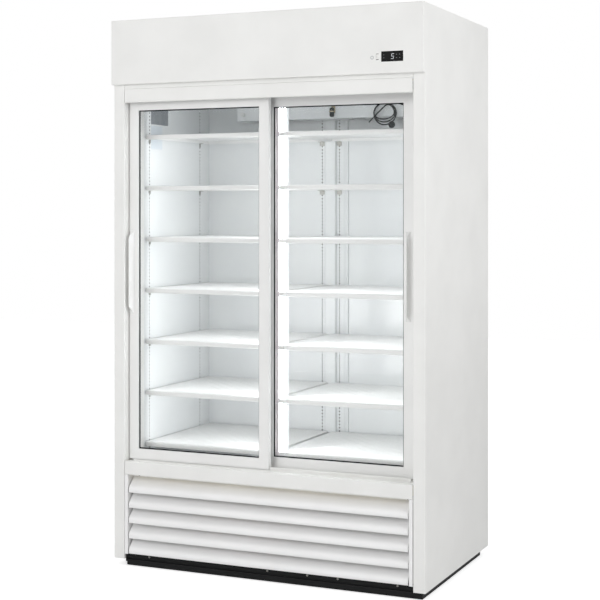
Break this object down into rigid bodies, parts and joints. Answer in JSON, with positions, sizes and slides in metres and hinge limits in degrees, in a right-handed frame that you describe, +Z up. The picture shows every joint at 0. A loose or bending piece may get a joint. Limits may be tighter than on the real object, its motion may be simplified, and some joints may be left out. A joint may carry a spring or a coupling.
{
  "type": "pharmacy_refrigerator",
  "caption": "Upright white refrigerator cabinet with two sliding glass doors on top rollers, perforated shelves in two bays, header controls and a louvred grille over its base machine.",
  "frame": {"origin": "on the floor under the centre of the footprint", "axes": "+Z up, the glass doors face -Y, +X to the right seen from the front"},
  "size_m": [1.2, 0.759, 1.985],
  "materials": {
    "white_paint": "satin white powder coat",
    "liner_white": "gloss white enamel",
    "white_plastic": "smooth white moulding",
    "door_white": "satin white coated extrusion",
    "glass": "clear float glass",
    "rubber": "black soft rubber",
    "nylon": "natural nylon",
    "aluminium": "mill finish extrusion",
    "zinc": "zinc plated",
    "galvanised": "galvanised sheet",
    "black_steel": "black enamel",
    "grille_paint": "satin light powder coat",
    "black_plastic": "black moulding",
    "lens": "dark display window",
    "led": "diffused light strip",
    "foam": "rigid foam",
    "tan_plastic": "tan moulding",
    "cable": "black cable jacket",
    "copper": "copper tube and fins"
  },
  "bodies": {
    "cabinet": {"base_frame": "black_steel", "levelling_feet": "zinc", "left_side_panel": "white_paint", "right_side_panel": "white_paint", "top_panel": "white_paint", "back_panel": "galvanised", "insulation_core": "foam", "inner_liner": "liner_white", "left_jamb": "white_plastic", "right_jamb": "white_plastic", "upper_front_rail": "white_paint", "track_cover": "white_paint", "sill_rail": "white_paint", "header_panel": "white_paint", "display_lens": "lens", "controller_body": "black_plastic", "switch_housing": "black_plastic", "top_track": "aluminium", "bottom_track": "white_plastic", "front_centre_post": "liner_white", "rear_centre_column": "liner_white", "led_strip": "led", "left_bay_shelves": "liner_white", "right_bay_shelves": "liner_white", "shelf_clips": "zinc", "evaporator_cover": "liner_white", "evaporator_coil": "copper", "evaporator_fan_motors": "galvanised", "cover_knob": "white_plastic", "probe_bottle": "black_plastic", "probe_bracket": "tan_plastic", "probe_coil": "cable", "probe_lead": "cable", "probe_tail": "cable", "probe_disc": "black_plastic", "lead_gland": "black_plastic", "compressor": "black_steel", "condenser_coil": "copper", "condenser_shroud": "galvanised", "louvre_grille": "grille_paint", "grille_screws": "zinc"},
    "left_door": {"left_door_frame": "door_white", "left_door_glass": "glass", "left_door_gasket": "rubber", "left_door_handle": "door_white", "left_door_hangers": "zinc"},
    "right_door": {"right_door_frame": "door_white", "right_door_glass": "glass", "right_door_gasket": "rubber", "right_door_handle": "door_white", "right_door_hangers": "zinc", "right_door_seal": "rubber"},
    "left_door_roller_outer": {"left_door_roller_outer": "nylon"},
    "left_door_roller_inner": {"left_door_roller_inner": "nylon"},
    "right_door_roller_inner": {"right_door_roller_inner": "nylon"},
    "right_door_roller_outer": {"right_door_roller_outer": "nylon"},
    "light_switch": {"light_switch": "white_plastic"},
    "evaporator_fan_left": {"evaporator_fan_left": "black_plastic"},
    "evaporator_fan_right": {"evaporator_fan_right": "black_plastic"},
    "condenser_fan": {"condenser_fan": "black_plastic"}
  },
  "joints": [
    {"name": "left_door_slide", "type": "slide", "parent": "cabinet", "child": "left_door", "axis": [1, 0, 0], "range_m": [0, 0.543]},
    {"name": "right_door_slide", "type": "slide", "parent": "cabinet", "child": "right_door", "axis": [-1, 0, 0], "range_m": [0, 0.5]},
    {"name": "left_door_roller_outer_turn", "type": "hinge", "parent": "left_door", "child": "left_door_roller_outer", "pos_m": [-0.4835, -0.319, 1.71235], "axis": [0, 1, 0], "range_deg": [0, 3459]},
    {"name": "left_door_roller_inner_turn", "type": "hinge", "parent": "left_door", "child": "left_door_roller_inner", "pos_m": [-0.0595, -0.319, 1.71235], "axis": [0, 1, 0], "range_deg": [0, 3459]},
    {"name": "right_door_roller_inner_turn", "type": "hinge", "parent": "right_door", "child": "right_door_roller_inner", "pos_m": [0.0388, -0.275, 1.71235], "axis": [0, -1, 0], "range_deg": [0, 3186]},
    {"name": "right_door_roller_outer_turn", "type": "hinge", "parent": "right_door", "child": "right_door_roller_outer", "pos_m": [0.4628, -0.275, 1.71235], "axis": [0, -1, 0], "range_deg": [0, 3186]},
    {"name": "light_switch_rock", "type": "hinge", "parent": "cabinet", "child": "light_switch", "pos_m": [0.4355, -0.3725, 1.808], "axis": [1, 0, 0], "range_deg": [0, 8]},
    {"name": "evaporator_fan_left_spin", "type": "hinge", "parent": "cabinet", "child": "evaporator_fan_left", "pos_m": [-0.15, 0.2045, 1.6584], "axis": [0, 0, 1], "continuous": true},
    {"name": "evaporator_fan_right_spin", "type": "hinge", "parent": "cabinet", "child": "evaporator_fan_right", "pos_m": [0.15, 0.2045, 1.6584], "axis": [0, 0, 1], "continuous": true},
    {"name": "condenser_fan_spin", "type": "hinge", "parent": "cabinet", "child": "condenser_fan", "pos_m": [-0.09, -0.1995, 0.176], "axis": [0, 1, 0], "continuous": true}
  ],
  "couplings": [
    {"joint": "left_door_roller_outer_turn", "follows": "left_door_slide", "rad_per_m": 111.11},
    {"joint": "left_door_roller_inner_turn", "follows": "left_door_slide", "rad_per_m": 111.11},
    {"joint": "right_door_roller_inner_turn", "follows": "right_door_slide", "rad_per_m": 111.11},
    {"joint": "right_door_roller_outer_turn", "follows": "right_door_slide", "rad_per_m": 111.11}
  ]
}
